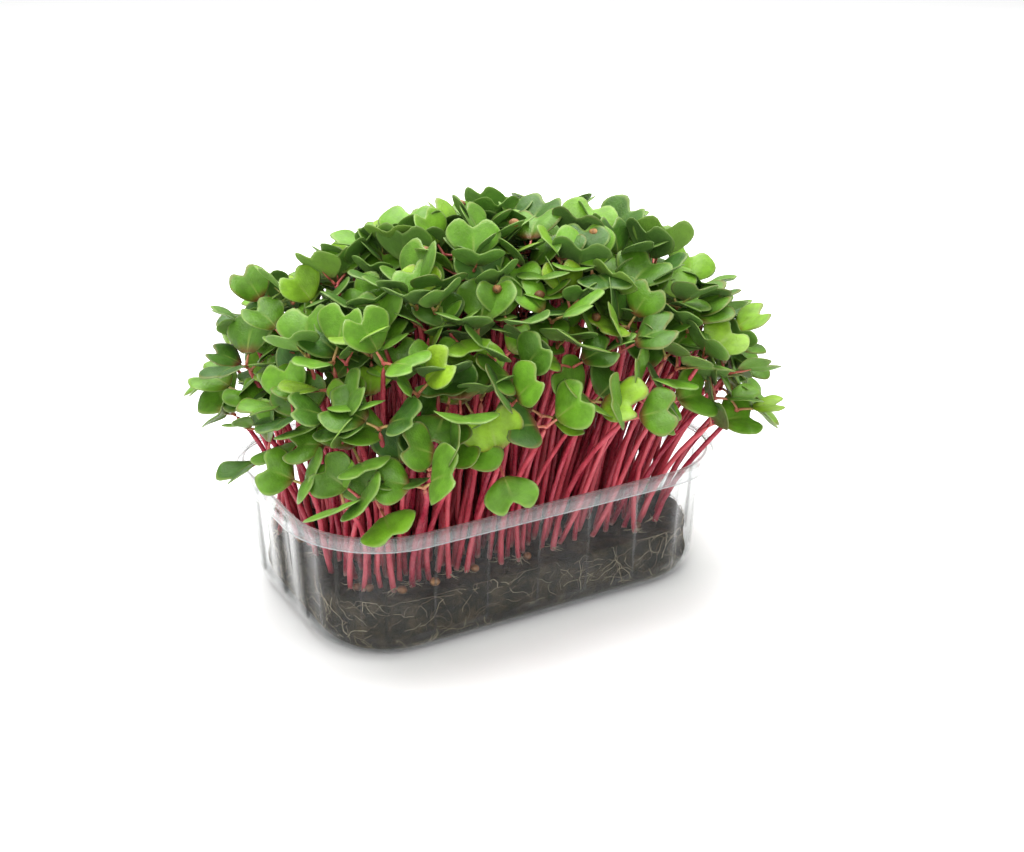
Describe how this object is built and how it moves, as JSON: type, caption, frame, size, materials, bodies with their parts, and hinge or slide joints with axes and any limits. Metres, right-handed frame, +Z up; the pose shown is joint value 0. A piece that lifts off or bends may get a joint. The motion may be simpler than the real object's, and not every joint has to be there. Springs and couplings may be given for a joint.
{
  "type": "radish microgreens tray",
  "caption": "Clear fluted plastic punnet of dark growing medium with a dense stand of radish microgreens, magenta stems and heart-shaped green seed leaves.",
  "frame": {"origin": "centre of the punnet's flat underside", "axes": "+X along the punnet's long side, +Y towards its back long wall, +Z up"},
  "size_m": [0.1635, 0.1223, 0.1097],
  "materials": {
    "clear_plastic": "clear glossy thermoformed film, faintly milky",
    "growing_medium": "matt moist peat with fine pale roots",
    "sprout": "satin green seed leaves with lighter margins on glossy magenta stems",
    "seed_husk": "dry satin seed coat"
  },
  "bodies": {
    "root": {"punnet": "clear_plastic", "growing_medium": "growing_medium", "sprout_01": "sprout", "sprout_02": "sprout", "sprout_03": "sprout", "sprout_04": "sprout", "sprout_05": "sprout", "sprout_06": "sprout", "sprout_07": "sprout", "sprout_08": "sprout", "sprout_09": "sprout", "sprout_10": "sprout", "sprout_11": "sprout", "sprout_12": "sprout", "sprout_13": "sprout", "sprout_14": "sprout", "sprout_15": "sprout", "sprout_16": "sprout", "sprout_17": "sprout", "sprout_18": "sprout", "sprout_19": "sprout", "sprout_20": "sprout", "sprout_21": "sprout", "sprout_22": "sprout", "sprout_23": "sprout", "sprout_24": "sprout", "sprout_25": "sprout", "sprout_26": "sprout", "sprout_27": "sprout", "sprout_28": "sprout", "sprout_29": "sprout", "sprout_30": "sprout", "sprout_31": "sprout", "sprout_32": "sprout", "sprout_33": "sprout", "sprout_34": "sprout", "sprout_35": "sprout", "sprout_36": "sprout", "sprout_37": "sprout", "sprout_38": "sprout", "sprout_39": "sprout", "sprout_40": "sprout", "sprout_41": "sprout", "sprout_42": "sprout", "sprout_43": "sprout", "sprout_44": "sprout", "sprout_45": "sprout", "sprout_46": "sprout", "sprout_47": "sprout", "sprout_48": "sprout", "sprout_49": "sprout", "sprout_50": "sprout", "sprout_51": "sprout", "sprout_52": "sprout", "sprout_53": "sprout", "sprout_54": "sprout", "seed_husk_1": "seed_husk", "seed_husk_2": "seed_husk", "seed_husk_3": "seed_husk", "seed_husk_4": "seed_husk"}
  },
  "joints": []
}
